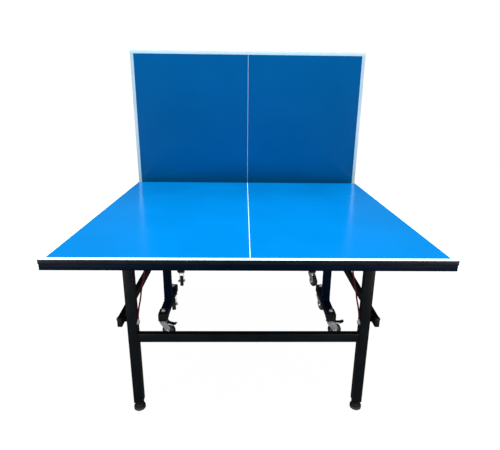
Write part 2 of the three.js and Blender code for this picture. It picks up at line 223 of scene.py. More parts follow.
def surface_material(name, dark, light, grain, roughness, bump, metal=0.0, specular=0.5, stretch=(1, 1, 1)):
    """A node material: colour and roughness vary with a soft noise, and a finer noise gives the bump.

    grain is (soft scale, fine scale), roughness is (lowest, highest) and bump is (strength, distance in m).
    """
    material = bpy.data.materials.new(name)
    material.use_nodes = True
    nodes = material.node_tree.nodes
    links = material.node_tree.links
    shader = nodes["Principled BSDF"]
    shader.inputs["Metallic"].default_value = metal
    shader.inputs["Specular IOR Level"].default_value = specular

    place = nodes.new("ShaderNodeTexCoord")
    mapping = nodes.new("ShaderNodeMapping")
    mapping.inputs["Scale"].default_value = stretch
    links.new(place.outputs["Object"], mapping.inputs["Vector"])

    soft = nodes.new("ShaderNodeTexNoise")
    soft.inputs["Scale"].default_value = grain[0]
    soft.inputs["Detail"].default_value = 4
    links.new(mapping.outputs["Vector"], soft.inputs["Vector"])
    fine = nodes.new("ShaderNodeTexNoise")
    fine.inputs["Scale"].default_value = grain[1]
    fine.inputs["Detail"].default_value = 3
    links.new(mapping.outputs["Vector"], fine.inputs["Vector"])

    colours = nodes.new("ShaderNodeValToRGB")
    colours.color_ramp.elements[0].position = 0.35
    colours.color_ramp.elements[0].color = dark
    colours.color_ramp.elements[1].position = 0.65
    colours.color_ramp.elements[1].color = light
    links.new(soft.outputs["Fac"], colours.inputs["Fac"])
    links.new(colours.outputs["Color"], shader.inputs["Base Color"])

    gloss = nodes.new("ShaderNodeMapRange")
    gloss.inputs["From Min"].default_value = 0.3
    gloss.inputs["From Max"].default_value = 0.7
    gloss.inputs["To Min"].default_value = roughness[0]
    gloss.inputs["To Max"].default_value = roughness[1]
    links.new(soft.outputs["Fac"], gloss.inputs["Value"])
    links.new(gloss.outputs["Result"], shader.inputs["Roughness"])

    relief = nodes.new("ShaderNodeBump")
    relief.inputs["Strength"].default_value = bump[0]
    relief.inputs["Distance"].default_value = bump[1]
    links.new(fine.outputs["Fac"], relief.inputs["Height"])
    links.new(relief.outputs["Normal"], shader.inputs["Normal"])
    return material


BLUE_PAINT = surface_material(
    "blue_paint", srgb(0, 88, 146), srgb(0, 91, 151), (3, 260), (0.16, 0.22), (0.1, 0.0003), specular=0.08)
LINE_PAINT = surface_material(
    "line_paint", srgb(182, 211, 224), srgb(188, 216, 228), (8, 300), (0.22, 0.3), (0.12, 0.0004),
    specular=0.2)
EDGE_BAND = surface_material(
    "edge_band", srgb(15, 24, 35), srgb(19, 29, 41), (20, 500), (0.4, 0.5), (0.2, 0.0003), specular=0.3)
BOARD_UNDERSIDE = surface_material(
    "board_underside", srgb(34, 32, 31), srgb(48, 45, 42), (60, 900), (0.75, 0.9), (0.5, 0.0006))
POWDER_COAT = surface_material(
    "powder_coat", srgb(14, 20, 24), srgb(18, 24, 29), (12, 850), (0.4, 0.48), (0.35, 0.0003), specular=0.25)
NAVY_COAT = surface_material(
    "navy_coat", srgb(0, 15, 36), srgb(2, 19, 43), (12, 850), (0.42, 0.5), (0.35, 0.0003), specular=0.08)
ZINC = surface_material(
    "zinc", srgb(186, 189, 192), srgb(212, 214, 217), (45, 700), (0.24, 0.38), (0.15, 0.0002), metal=0.45)
# A lighter copy of the zinc, near white: partly the fasteners' brighter plating, partly a painted highlight
# on nuts, bolts, the crown race and the pedal lever.
ZINC_WITH_PAINTED_HIGHLIGHT = surface_material(
    "zinc_with_painted_highlight", srgb(236, 238, 240), srgb(248, 249, 250), (45, 700), (0.16, 0.26), (0.1, 0.0002),
    metal=0.3)
WHEEL_RUBBER = surface_material(
    "wheel_rubber", srgb(38, 41, 43), srgb(47, 50, 52), (40, 900), (0.6, 0.75), (0.3, 0.0003), specular=0.3)
HUB_PLASTIC = surface_material(
    "hub_plastic", srgb(104, 107, 111), srgb(118, 121, 125), (40, 900), (0.4, 0.5), (0.2, 0.0002))
FOOT_RUBBER = surface_material(
    "foot_rubber", srgb(44, 45, 46), srgb(54, 55, 56), (40, 800), (0.5, 0.62), (0.3, 0.0004), specular=0.4)
BLACK_PLASTIC = surface_material(
    "black_plastic", srgb(15, 16, 18), srgb(22, 23, 25), (30, 600), (0.42, 0.55), (0.5, 0.0004))
CABLE_SHEATH = surface_material(
    "cable_sheath", srgb(128, 16, 46), srgb(148, 26, 56), (120, 1500), (0.35, 0.5), (0.25, 0.0002))


# --- mesh code ------------------------------------------------------------------------------------

def aim(origin, direction, across=(1, 0, 0)):
    """A matrix that puts +Z along direction at origin, with +X as close to across as it can be."""
    z = Vector(direction).normalized()
    x = Vector(across) - z * z.dot(Vector(across))
    if x.length < 1e-6:
        x = z.orthogonal()
    x.normalize()
    y = z.cross(x)
    return Matrix.Translation(origin) @ Matrix((x, y, z)).transposed().to_4x4()


def along_x(side, x, y=0.0, z=0.0):
    """A frame whose +Z points along X, away from the table's middle on that side."""
    return aim((side * x, y, z), (side, 0, 0), (0, 1, 0))


def circle(radius, count=32, centre=(0, 0)):
    steps = [2 * math.pi * i / count for i in range(count)]
    return [(centre[0] + radius * math.cos(a), centre[1] + radius * math.sin(a)) for a in steps]


def hexagon(across_flats):
    radius = across_flats / math.sqrt(3)
    return circle(radius, 6)


def rounded_outline(width, depth, radius, centre=(0, 0), steps=5):
    """A rectangle with round corners, counter-clockwise."""
    points = []
    for corner, (sx, sy) in enumerate([(1, 1), (-1, 1), (-1, -1), (1, -1)]):
        middle = (centre[0] + sx * (width / 2 - radius), centre[1] + sy * (depth / 2 - radius))
        for step in range(steps):
            angle = math.pi / 2 * (corner + step / (steps - 1))
            points.append((middle[0] + radius * math.cos(angle), middle[1] + radius * math.sin(angle)))
    return points


def inset(outline, distance):
    """The outline moved inward by distance, at each corner along its two edges' normals."""
    if distance == 0:
        return list(outline)
    moved = []
    count = len(outline)
    for i in range(count):
        before, here, after = (Vector(outline[j % count]) for j in (i - 1, i, i + 1))
        first = (here - before).normalized()
        second = (after - here).normalized()
        normal_a = Vector((-first.y, first.x))
        normal_b = Vector((-second.y, second.x))
        middle = normal_a + normal_b
        moved.append(tuple(here + middle * (distance / max(1e-9, 1 + normal_a.dot(normal_b)))))
    return moved


def add_rings(bm, rings, closed=False):
    """Joins rings of equally many points into one shell, with its ends capped unless it closes."""
    rows = [[bm.verts.new(point) for point in ring] for ring in rings]
    count = len(rows[0])
    pairs = list(zip(rows, rows[1:]))
    if closed:
        pairs.append((rows[-1], rows[0]))
    for low, high in pairs:
        for i in range(count):
            bm.faces.new((low[i], low[(i + 1) % count], high[(i + 1) % count], high[i]))
    if not closed:
        bm.faces.new(list(reversed(rows[0])))
        bm.faces.new(rows[-1])


def prism(bm, place, outline, low, high, edge=0.0008, steps=3):
    """An outline raised from low to high along the place's Z, with both rims rounded by edge."""
    angles = [math.pi / 2 * step / (steps - 1) for step in range(steps)]
    levels = [(low + edge * (1 - math.cos(a)), edge * (1 - math.sin(a))) for a in angles]
    levels += [(high - edge * (1 - math.cos(a)), edge * (1 - math.sin(a))) for a in reversed(angles)]
    rings = [[place @ Vector((x, y, z)) for x, y in inset(outline, by)] for z, by in levels]
    add_rings(bm, rings)


def lathe(bm, place, profile, count=40):
    """A profile of (radius, height) turned round the place's Z; it starts and ends on the axis, or closes."""
    on_axis = profile[0][0] < 1e-7
    middle = profile[1:-1] if on_axis else profile
    angles = [2 * math.pi * i / count for i in range(count)]
    rings = [[place @ Vector((r * math.cos(a), r * math.sin(a), z)) for a in angles] for r, z in middle]
    if not on_axis:
        add_rings(bm, rings, closed=True)
        return
    rows = [[bm.verts.new(point) for point in ring] for ring in rings]
    for low, high in zip(rows, rows[1:]):
        for i in range(count):
            bm.faces.new((low[i], low[(i + 1) % count], high[(i + 1) % count], high[i]))
    for row, (_, height) in ((rows[0], profile[0]), (rows[-1], profile[-1])):
        tip = bm.verts.new(place @ Vector((0, 0, height)))
        for i in range(count):
            bm.faces.new((row[i], row[(i + 1) % count], tip))


def tube(bm, low, high, along, radius=0.003, edge=0.0005):
    """A box section between two corners, with round long edges and closed ends."""
    low, high = Vector(low), Vector(high)
    middle = (low + high) / 2
    size = high - low
    across = {0: (0, 1, 0), 1: (1, 0, 0), 2: (1, 0, 0)}[along]
    direction = [0, 0, 0]
    direction[along] = 1
    place = aim(middle, direction, across)
    widths = {0: (size.y, size.z), 1: (size.x, size.z), 2: (size.x, size.y)}[along]
    outline = rounded_outline(*widths, radius)
    prism(bm, place, outline, -size[along] / 2, size[along] / 2, edge)


def sweep(bm, points, radius, count=10):
    """A round bar along points, with its ends closed; radius may be a list, one for each point."""
    points = [Vector(point) for point in points]
    radii = radius if isinstance(radius, list) else [radius] * len(points)
    forward = (points[1] - points[0]).normalized()
    across = forward.orthogonal().normalized()
    rings = []
    for i, point in enumerate(points):
        before, after = points[max(0, i - 1)], points[min(len(points) - 1, i + 1)]
        tangent = (after - before).normalized()
        across = (across - tangent * tangent.dot(across)).normalized()
        other = tangent.cross(across)
        angles = [2 * math.pi * k / count for k in range(count)]
        rings.append([point + radii[i] * (across * math.cos(a) + other * math.sin(a)) for a in angles])
    add_rings(bm, rings)


def weld(bm, corners, bead=0.0022):
    """A weld bead along a path of straight stretches, with the small ripples of its pools."""
    points = []
    radii = []
    for start, end in zip(corners, corners[1:]):
        start, end = Vector(start), Vector(end)
        count = max(2, round((end - start).length / BEAD_PITCH) * 2)
        for i in range(count):
            points.append(start.lerp(end, i / count))
            radii.append(bead * (1.0 if i % 2 else 0.78))
    points.append(Vector(corners[-1]))
    radii.append(bead * 0.7)
    sweep(bm, points, radii, 7)


def weld_round(bm, place, width, depth, bead=0.0022):
    """A weld bead round a box section's foot, in the place's XY plane."""
    x, y = width / 2, depth / 2
    loop = [(x, 0), (x, y), (-x, y), (-x, -y), (x, -y), (x, -0.001)]
    weld(bm, [place @ Vector((*point, 0)) for point in loop], bead)


def add_piece(name, bm, place, body, material, replaced=(), sharp=35):
    """One piece of the table: its mesh goes to its place and rides on its body."""
    mesh = bpy.data.meshes.new(name)
    bmesh.ops.recalc_face_normals(bm, faces=bm.faces)
    bm.to_mesh(mesh)
    bm.free()
    mesh.transform(place)
    for extra in material if isinstance(material, (list, tuple)) else [material]:
        mesh.materials.append(extra)
    mesh.shade_smooth()
    mesh.set_sharp_from_angle(angle=math.radians(sharp))
    piece = bpy.data.objects.new(name, mesh)
    bpy.context.scene.collection.objects.link(piece)
    if body:
        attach(piece, body)
    if replaced:
        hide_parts(*replaced)
    return piece


# --- fasteners ------------------------------------------------------------------------------------

def flat_washer(bm, place, radius):
    thick = WASHER_THICKNESS
    lathe(bm, place, [(0, 0), (radius, 0), (radius, 0.0012), (radius - 0.0004, thick), (0, thick)], 28)


def hex_head(bm, place, across=0.013, height=0.0055, washer=0.0095):
    """A hex bolt head on a flat washer; the place's Z points out of the surface."""
    flat_washer(bm, place, washer)
    top = WASHER_THICKNESS + height
    prism(bm, place, hexagon(across), WASHER_THICKNESS, top, 0.0007)
    crown = across * 0.47
    dome = [(0, top - 0.001), (crown, top - 0.001), (crown * 0.96, top + 0.0003), (0, top + 0.0005)]
    lathe(bm, place, dome, 28)


def lock_nut(bm, place, across=0.016, height=0.008, washer=0.0115, shank=0.005):
    """A nylon-insert lock nut on a washer, with the end of its bolt through it."""
    flat_washer(bm, place, washer)
    prism(bm, place, hexagon(across), WASHER_THICKNESS, WASHER_THICKNESS + height * 0.72, 0.0008)
    collar = across * 0.46
    top = WASHER_THICKNESS + height
    insert = [(0, 0.004), (collar, 0.004), (collar, top - 0.001), (collar - 0.001, top), (0, top)]
    lathe(bm, place, insert, 28)
    end = top + 0.002
    lathe(bm, place, [(0, 0.004), (shank, 0.004), (shank, end - 0.0008), (shank - 0.001, end), (0, end)], 20)


def pan_screw(bm, place, radius=0.0045, height=0.0026):
    """A pan head with a cross recess, made of a domed ring round a sunk cross."""
    dome = [(0, 0), (radius, 0), (radius, 0.0008), (radius * 0.86, height * 0.8), (radius * 0.5, height)]
    lathe(bm, place, dome + [(radius * 0.34, height), (radius * 0.3, height * 0.35), (0, height * 0.3)], 20)
    for turn in (0, math.pi / 2):
        blade = rounded_outline(radius * 0.66, radius * 0.16, radius * 0.05, steps=2)
        prism(bm, place @ Matrix.Rotation(turn, 4, "Z"), blade, 0, height * 0.6, 0.0001, 2)


# --- the top --------------------------------------------------------------------------------------

def split_slab(low, high, cuts_x, cuts_y):
    """A box whose faces are split at the cuts, with its outer edges bevelled."""
    bm = bmesh.new()
    xs = [low.x, *cuts_x, high.x]
    ys = [low.y, *cuts_y, high.y]
    grid = {}
    for z in (low.z, high.z):
        for i, x in enumerate(xs):
            for j, y in enumerate(ys):
                grid[i, j, z] = bm.verts.new((x, y, z))
    for i in range(len(xs) - 1):
        for j in range(len(ys) - 1):
            for z in (low.z, high.z):
                bm.faces.new([grid[i, j, z], grid[i + 1, j, z], grid[i + 1, j + 1, z], grid[i, j + 1, z]])
    walls = [((i, j), (i + 1, j)) for i in range(len(xs) - 1) for j in (0, len(ys) - 1)]
    walls += [((i, j), (i, j + 1)) for j in range(len(ys) - 1) for i in (0, len(xs) - 1)]
    for a, b in walls:
        bm.faces.new([grid[*a, low.z], grid[*b, low.z], grid[*b, high.z], grid[*a, high.z]])
    bmesh.ops.recalc_face_normals(bm, faces=bm.faces)
    outer = [edge for edge in bm.edges if edge.calc_face_angle(0) > 1]
    bmesh.ops.bevel(
        bm, geom=outer, offset=0.0009, segments=3, profile=0.5, affect="EDGES", clamp_overlap=True)
    return bm


def add_board(half, places, body):
    low, high = rest_box(f"{half}_top_board", places["top"])
    line_edges = (low.x + LINE_WIDTH, -CENTRE_LINE / 2, CENTRE_LINE / 2, high.x - LINE_WIDTH)
    end_line = high.y - LINE_WIDTH
    bm = split_slab(low, high, line_edges, (end_line,))
    for face in bm.faces:
        centre = face.calc_center_median()
        on_line = abs(centre.x) > line_edges[3] or centre.y > end_line or abs(centre.x) < CENTRE_LINE / 2
        if face.normal.z > 0.95:
            face.material_index = 1 if on_line else 0
        elif face.normal.z < -0.95:
            face.material_index = 3
        else:
            face.material_index = 2
    finishes = [BLUE_PAINT, LINE_PAINT, EDGE_BAND, BOARD_UNDERSIDE]
    add_piece(f"{half}_board", bm, places["top"], body, finishes, [f"{half}_top_board"])


def add_aprons(half, places, body):
    top = places["top"]
    boxes = {edge: rest_box(f"{half}_{edge}_apron", top) for edge in ("end", "net", "left", "right")}
    for edge, along in (("end", 0), ("net", 0), ("left", 1), ("right", 1)):
        bm = bmesh.new()
        tube(bm, *boxes[edge], along, 0.002)
        node = f"{half}_{edge}_apron"
        add_piece(f"{node}_tube", bm, top, body, NAVY_COAT, [node])
    beads = bmesh.new()
    for name in ("left", "right"):
        low, high = boxes[name]
        for y in (low.y, high.y):
            across = (low.x + 0.004, high.x - 0.004)
            weld(beads, [(across[0], y, low.z), (across[1], y, low.z)], 0.0016)
    for edge in ("end", "net"):
        low, high = boxes[edge]
        y = low.y if edge == "end" else high.y
        for side in SIDES:
            for x in RAIL_X:
                weld(beads, [(side * x, y, low.z + 0.003), (side * x, y, high.z - 0.002)], 0.0016)
    add_piece(f"{half}_apron_welds", beads, top, body, POWDER_COAT, sharp=60)


def lug(bm, side, y, z, top):
    """A hinge lug under a rail: a round end below and straight sides up into the rail."""
    radius = 0.012
    arc = [math.pi + math.pi * step / 14 for step in range(15)]
    outline = [(y + radius * math.cos(a), z + radius * math.sin(a)) for a in arc]
    outline += [(y + radius, top), (y - radius, top)]
    place = aim((side * RAIL_X[0], 0, 0), (side, 0, 0), (0, 1, 0))
    if side < 0:
        outline = [(py, -pz) for py, pz in reversed(outline)]
    prism(bm, place, outline, -0.0004, RAIL_X[1] - RAIL_X[0] + 0.0004, 0.0012)


def add_rails(half, places, body):
    top = places["top"]
    low, high = rest_box(f"{half}_left_apron", top)
    for side in SIDES:
        name = f"{half}_{side_name(half, side)}_hinge_rail"
        bm = bmesh.new()
        rail_low = (min(side * RAIL_X[0], side * RAIL_X[1]), low.y, low.z)
        rail_high = (max(side * RAIL_X[0], side * RAIL_X[1]), high.y, high.z)
        tube(bm, rail_low, rail_high, 1, 0.0028)
        for y, z in ((0, 0), (LEG_HINGE[0], -LEG_HINGE[1])):
            lug(bm, side, y, z, high.z - 0.004)
        add_piece(f"{name}_tube", bm, top, body, POWDER_COAT, [name])

        pins = bmesh.new()
        for x, y, z in ((POST_X[0], 0, 0), (LEG_X[0], LEG_HINGE[0], -LEG_HINGE[1])):
            end = x + EYE_THICKNESS + 0.004
            head = along_x(side, RAIL_X[0] - 0.004, y, z)
            length = end - RAIL_X[0] + 0.004
            profile = [(0, 0), (0.0072, 0.0006), (0.0084, 0.0022), (0.0084, 0.004), (PIN_RADIUS, 0.0041)]
            profile += [(PIN_RADIUS, length - 0.003), (0.0042, length - 0.0029), (0.0042, length - 0.0019)]
            profile += [(PIN_RADIUS, length - 0.0018), (PIN_RADIUS, length - 0.0006)]
            profile += [(0.0044, length), (0, length)]
            lathe(pins, head, profile, 28)
            clip = along_x(side, end - 0.0031, y, z)
            lathe(pins, clip, [(0.0044, 0), (0.0078, 0), (0.0078, 0.001), (0.0044, 0.001)], 28)
        add_piece(f"{name}_pins", pins, top, body, ZINC)


def add_board_screws(half, places, body):
    """Pan head screws that hold the board on its aprons and rails, driven from below."""
    top = places["top"]
    bm = bmesh.new()
    end_low, end_high = rest_box(f"{half}_end_apron", top)
    net_low, net_high = rest_box(f"{half}_net_apron", top)
    side_low, side_high = rest_box(f"{half}_left_apron", top)
    bottom = end_low.z
    for y in ((end_low.y + end_high.y) / 2, (net_low.y + net_high.y) / 2):
        for step in range(-3, 4):
            pan_screw(bm, aim((step * 0.235, y, bottom), (0, 0, -1)))
    rail_middle = (RAIL_X[0] + RAIL_X[1]) / 2
    for x in (abs(side_low.x + side_high.x) / 2, rail_middle):
        for side in SIDES:
            for y in (-0.33, -0.11, 0.18, 0.40, 0.61):
                pan_screw(bm, aim((side * x, y, bottom), (0, 0, -1)))
    add_piece(f"{half}_board_screws", bm, top, body, ZINC)


# --- legs, posts and their eyes -------------------------------------------------------------------

def eye_plate(bm, side, inner_x, z):
    """The plate welded to a tube's inner face, whose eye turns on a hinge pin."""
    place = along_x(side, inner_x, 0, z)
    lathe(bm, place, [(0.0056, 0), (EYE_RADIUS, 0), (EYE_RADIUS, EYE_THICKNESS), (0.0056, EYE_THICKNESS)], 32)
    low = Vector((min(side * inner_x, side * (inner_x + EYE_THICKNESS)), 0.0057, z - 0.030))
    high = Vector((max(side * inner_x, side * (inner_x + EYE_THICKNESS)), 0.018, z + EYE_RADIUS))
    tube(bm, low, high, 0, 0.002, 0.0006)


def link_bolt(bm, steel, side, y, z):
    """The bolt of a link bar: its spacer on the tube and the washer and lock nut outside the bar."""
    spacer = along_x(side, POST_X[1] - 0.0005, y, z)
    gap = LINK_X[0] - POST_X[1]
    lathe(steel, spacer, [(0, 0), (0.0125, 0), (0.011, 0.002), (0.011, gap), (0, gap)], 32)
    shank = along_x(side, LINK_X[0] - 0.002, y, z)
    lathe(bm, shank, [(0, 0), (0.0058, 0), (0.0058, 0.0222), (0, 0.0222)], 24)
    lock_nut(bm, along_x(side, LINK_X[1] + 0.0002, y, z))


def add_crossbar(node, place, body, beads, inner_x):
    """A crossbar's tube, with a weld bead round each end on the inner faces of the tubes it joins."""
    low, high = rest_box(node, place)
    bm = bmesh.new()
    tube(bm, low, high, 0, 0.003)
    add_piece(f"{node}_tube", bm, place, body, POWDER_COAT, [node])
    across = (high.y - low.y, high.z - low.z)
    centre = ((low.y + high.y) / 2, (low.z + high.z) / 2)
    for side in SIDES:
        weld_round(beads, aim((side * (inner_x - BEAD_STANDOFF), *centre), (1, 0, 0), (0, 1, 0)), *across)


def add_legs(half, places, body):
    place = places["leg_frame"]
    floor = -LEG_HINGE_HEIGHT
    bolts = bmesh.new()
    for side in SIDES:
        name = f"{half}_{side_name(half, side)}_leg"
        bm = bmesh.new()
        xs = sorted((side * LEG_X[0], side * LEG_X[1]))
        ys = (POST_OUT - LEG_DEPTH / 2, POST_OUT + LEG_DEPTH / 2)
        tube(bm, (xs[0], ys[0], floor + LEG_END_HEIGHT), (xs[1], ys[1], LEG_TOP - 0.003), 2, 0.0035)
        eye_plate(bm, side, LEG_X[0], 0)
        link_bolt(bolts, bm, side, POST_OUT, -LINK_DROP)
        middle = side * sum(LEG_X) / 2
        foot_plug = Matrix.Translation((middle, POST_OUT, floor + LEG_END_HEIGHT))
        add_piece(f"{name}_tube", bm, place, body, POWDER_COAT, [name])

        plugs = bmesh.new()
        cap = rounded_outline(LEG_X[1] - LEG_X[0], LEG_DEPTH, 0.0035)
        prism(plugs, foot_plug, cap, -0.0010, 0.0003, 0.0003)
        skirt = [(0.0152, 0), (0.0196, 0), (0.0196, -0.0110), (0.0188, -0.0122), (0.0152, -0.0122)]
        lathe(plugs, foot_plug, skirt, 40)
        top_plug = Matrix.Translation((middle, POST_OUT, LEG_TOP))
        prism(plugs, top_plug, cap, -0.0032, 0.0, 0.0014)
        add_piece(f"{name}_plugs", plugs, place, body, BLACK_PLASTIC)
    add_piece(f"{half}_leg_link_nuts", bolts, place, body, ZINC_WITH_PAINTED_HIGHLIGHT)

    beads = bmesh.new()
    add_crossbar(f"{half}_leg_crossbar", place, body, beads, LEG_X[0])
    add_piece(f"{half}_leg_welds", beads, place, body, POWDER_COAT, sharp=60)


def add_feet(half, places):
    """Levelling feet: a rubber pad whose ring holds a painted highlight band, its hexagon and a threaded
    stem.
    """
    for side in SIDES:
        name = side_name(half, side)
        body = f"{half}_{name}_foot"
        centre = Matrix.Translation((side * sum(LEG_X) / 2, POST_OUT, -LEG_HINGE_HEIGHT))
        place = places["leg_frame"] @ centre
        pad = bmesh.new()
        r = FOOT_RADIUS
        profile = [(0, 0.0008), (r - 0.004, 0.0008), (r - 0.0035, 0), (r - 0.0012, 0), (r, 0.0014)]
        profile += [(r, 0.0052), (r - 0.0012, 0.0056), (r - 0.0012, 0.0084), (r, 0.0088)]
        profile += [(r, 0.0120), (r - 0.0012, 0.0142)]
        profile += [(r - 0.0038, 0.0158), (0.0150, 0.0168), (0.0142, 0.0176), (0.0142, 0.0232), (0, 0.0236)]
        lathe(pad, Matrix(), profile, 56)
        add_piece(f"{body}_pad", pad, place, body, FOOT_RUBBER, [body])
        # A grey band in the pad's groove: a painted highlight ring on the dark rubber.
        painted_highlight_band = bmesh.new()
        ring = [(r - 0.003, 0.0058), (r - 0.0008, 0.0058), (r - 0.0008, 0.0082), (r - 0.003, 0.0082)]
        lathe(painted_highlight_band, Matrix(), ring, 56)
        add_piece(f"{body}_band", painted_highlight_band, place, body, HUB_PLASTIC)
        stem = bmesh.new()
        prism(stem, Matrix(), hexagon(0.017), 0.0230, 0.0284, 0.0008)
        thread = [(0, 0.027)]
        pitch = 0.0015
        for turn in range(round((FOOT_STEM - 0.0286) / pitch)):
            z = 0.0280 + turn * pitch
            thread += [(0.0044, z), (0.005, z + pitch * 0.4), (0.005, z + pitch * 0.6)]
        thread += [(0.0044, FOOT_STEM - 0.001), (0.0036, FOOT_STEM), (0, FOOT_STEM)]
        lathe(stem, Matrix(), thread, 20)
        add_piece(f"{body}_stem", stem, place, body, ZINC)


# --- link bars ------------------------------------------------------------------------------------

def add_links(half, places):
    for side in SIDES:
        name = side_name(half, side)
        node = f"{half}_{name}_link_bar"
        body = f"{half}_{name}_link"
        low, high = rest_box(node, places["links"])
        rim = 0.0032
        bm = bmesh.new()
        tube(bm, (low.x, low.y + rim, low.z), (high.x, high.y - rim, high.z), 1, 0.003)
        add_piece(f"{node}_tube", bm, places["links"], body, POWDER_COAT, [node])
        plugs = bmesh.new()
        outline = rounded_outline(high.x - low.x, high.z - low.z, 0.003)
        centre = ((low.x + high.x) / 2, (low.z + high.z) / 2)
        for y, out in ((low.y + rim, -1), (high.y - rim, 1)):
            prism(plugs, aim((centre[0], y, centre[1]), (0, out, 0)), outline, 0.0001, rim, 0.0014)
        add_piece(f"{node}_plugs", plugs, places["links"], body, BLACK_PLASTIC)


# --- the carriage ---------------------------------------------------------------------------------

def add_carriage(half, places, body):
    place = places["carriage"]
    beads = bmesh.new()
    nuts = bmesh.new()
    for side in SIDES:
        node = f"{half}_{side_name(half, side)}_carriage"
        middle = side * sum(POST_X) / 2
        xs = sorted((side * POST_X[0], side * POST_X[1]))
        ys = (POST_OUT - POST_DEPTH / 2, POST_OUT + POST_DEPTH / 2)
        bm = bmesh.new()
        tube(bm, (xs[0], ys[0], BASE_Z[1] - 0.001), (xs[1], ys[1], POST_TOP - 0.003), 2, 0.0035)
        base_reach = BASE_LENGTH / 2 - 0.003
        base_low = (xs[0], POST_OUT - base_reach, BASE_Z[0])
        base_high = (xs[1], POST_OUT + base_reach, BASE_Z[1])
        tube(bm, base_low, base_high, 1, 0.0035)
        eye_plate(bm, side, POST_X[0], HINGE_HEIGHT)
        link_bolt(nuts, bm, side, POST_OUT, HINGE_HEIGHT - LINK_DROP)
        add_piece(f"{node}_frame", bm, place, body, NAVY_COAT, [node])
        post_foot = Matrix.Translation((middle, POST_OUT, BASE_Z[1] + 0.0006))
        weld_round(beads, post_foot, POST_X[1] - POST_X[0], POST_DEPTH)

        caps = bmesh.new()
        top_plug = Matrix.Translation((middle, POST_OUT, POST_TOP))
        post_outline = rounded_outline(POST_X[1] - POST_X[0], POST_DEPTH, 0.0035)
        prism(caps, top_plug, post_outline, -0.0031, 0.0, 0.0014)
        for end in (-1, 1):
            base_cap(caps, middle, POST_OUT + end * BASE_LENGTH / 2, end)
            kingpin = POST_OUT + end * CASTER_SPREAD
            hex_head(nuts, Matrix.Translation((middle, kingpin, BASE_CAP_TOP)), 0.016, 0.007, 0.0115)
        add_piece(f"{node}_caps", caps, place, body, BLACK_PLASTIC)
    add_piece(f"{half}_carriage_nuts", nuts, place, body, ZINC_WITH_PAINTED_HIGHLIGHT)

    add_crossbar(f"{half}_carriage_crossbar", place, body, beads, POST_X[0])
    add_piece(f"{half}_carriage_welds", beads, place, body, POWDER_COAT, sharp=60)


def base_cap(bm, x, end_y, end):
    """The moulded cap round a base bar's end, with a domed top that its caster bolt passes."""
    width = POST_X[1] - POST_X[0] + 2 * BASE_CAP_WALL
    bottom = BASE_Z[0] + 0.0004
    sections = []
    steps = 6
    for step in range(steps + 1):
        share = step / steps
        y = end_y + end * (BASE_CAP_WALL - BASE_CAP_LENGTH * share)
        rise = BASE_CAP_TOP - 0.0035 * max(0, (0.5 - share) / 0.5) ** 2
        sections.append((y, rise))
    rings = []
    for index, (y, top) in enumerate(sections):
        trim = 0.003 if index == 0 else 0.0
        outline = rounded_outline(width - trim, top - bottom - trim, 0.006, (0, (top + bottom) / 2))
        rings.append([Vector((x + px, y, pz)) for px, pz in outline])
    first = sections[0][0] - end * 0.0015
    rings.insert(1, [Vector((p.x + (p.x - x) * 0.09, first, p.z)) for p in rings[0]])
    add_rings(bm, rings)


# --- casters --------------------------------------------------------------------------------------

def cheek_outline():
    """One cheek of a fork, seen from its side: from the crown down to a round boss at the axle."""
    boss = 0.0112
    arc = [math.pi + math.pi * step / 12 for step in range(13)]
    points = [(-0.019, 0.0945), (-0.0205, 0.0895), (-0.0195, 0.0840)]
    points += [(CASTER_TRAIL + boss * math.cos(a), WHEEL_RADIUS + boss * math.sin(a)) for a in arc]
    points += [(0.0400, 0.0480), (0.0430, 0.0620), (0.0380, 0.0715)]
    points += [(0.0300, 0.0835), (0.0240, 0.0905), (0.0215, 0.0945)]
    return points


def add_fork(name, place):
    bm = bmesh.new()
    crown = [(0.0058, 0.0918), (0.0235, 0.0918), (0.0248, 0.0925), (0.0250, 0.0940)]
    crown += [(0.0236, 0.0956), (0.0205, 0.0964), (0.0058, 0.0966)]
    lathe(bm, Matrix(), crown, 48)
    for side in SIDES:
        turned = Matrix.Rotation(math.pi / 2, 4, "X")
        outline = cheek_outline()
        low, high = sorted((-side * CHEEK_Y[0], -side * CHEEK_Y[1]))
        prism(bm, turned, outline, low, high, 0.0006)
        rim = aim((CASTER_TRAIL, side * (CHEEK_Y[1] - 0.0002), WHEEL_RADIUS), (0, side, 0))
        lathe(bm, rim, [(0, 0), (0.0095, 0), (0.0085, 0.001), (0, 0.001)], 28)
    lathe(bm, Matrix(), [(0, 0.0930), (0.0055, 0.0930), (0.0055, 0.1165), (0, 0.1165)], 24)
    add_piece(f"{name}_fork_plates", bm, place, f"{name}_caster", ZINC, [f"{name}_fork"])

    bolts = bmesh.new()
    # The crown's upper race goes in with the bolts, in the near-white zinc: a painted highlight along the top
    # of the fork.
    painted_highlight_race = [(0.0058, 0.0960), (0.0212, 0.0966), (0.0236, 0.0976), (0.0240, 0.0990)]
    painted_highlight_race += [(0.0230, 0.1002), (0.0180, 0.1006), (0.0170, 0.1014), (0.0058, 0.1016)]
    lathe(bolts, Matrix(), painted_highlight_race, 48)
    head = aim((CASTER_TRAIL, CHEEK_Y[1] + 0.0008, WHEEL_RADIUS), (0, 1, 0))
    nut = aim((CASTER_TRAIL, -CHEEK_Y[1] - 0.0008, WHEEL_RADIUS), (0, -1, 0))
    hex_head(bolts, head, 0.015, 0.0052, 0.0100)
    lock_nut(bolts, nut, 0.015, 0.0066, 0.0100, 0.0044)
    axle = [(CASTER_TRAIL, side * CHEEK_Y[1], WHEEL_RADIUS) for side in SIDES]
    sweep(bolts, axle, 0.0058, 20)
    if "_end_" in name:
        rivet = [(PEDAL_PIVOT[0], side * 0.0182, PEDAL_PIVOT[1]) for side in SIDES]
        sweep(bolts, rivet, 0.003, 16)
    add_piece(f"{name}_fork_bolts", bolts, place, f"{name}_caster", ZINC_WITH_PAINTED_HIGHLIGHT)


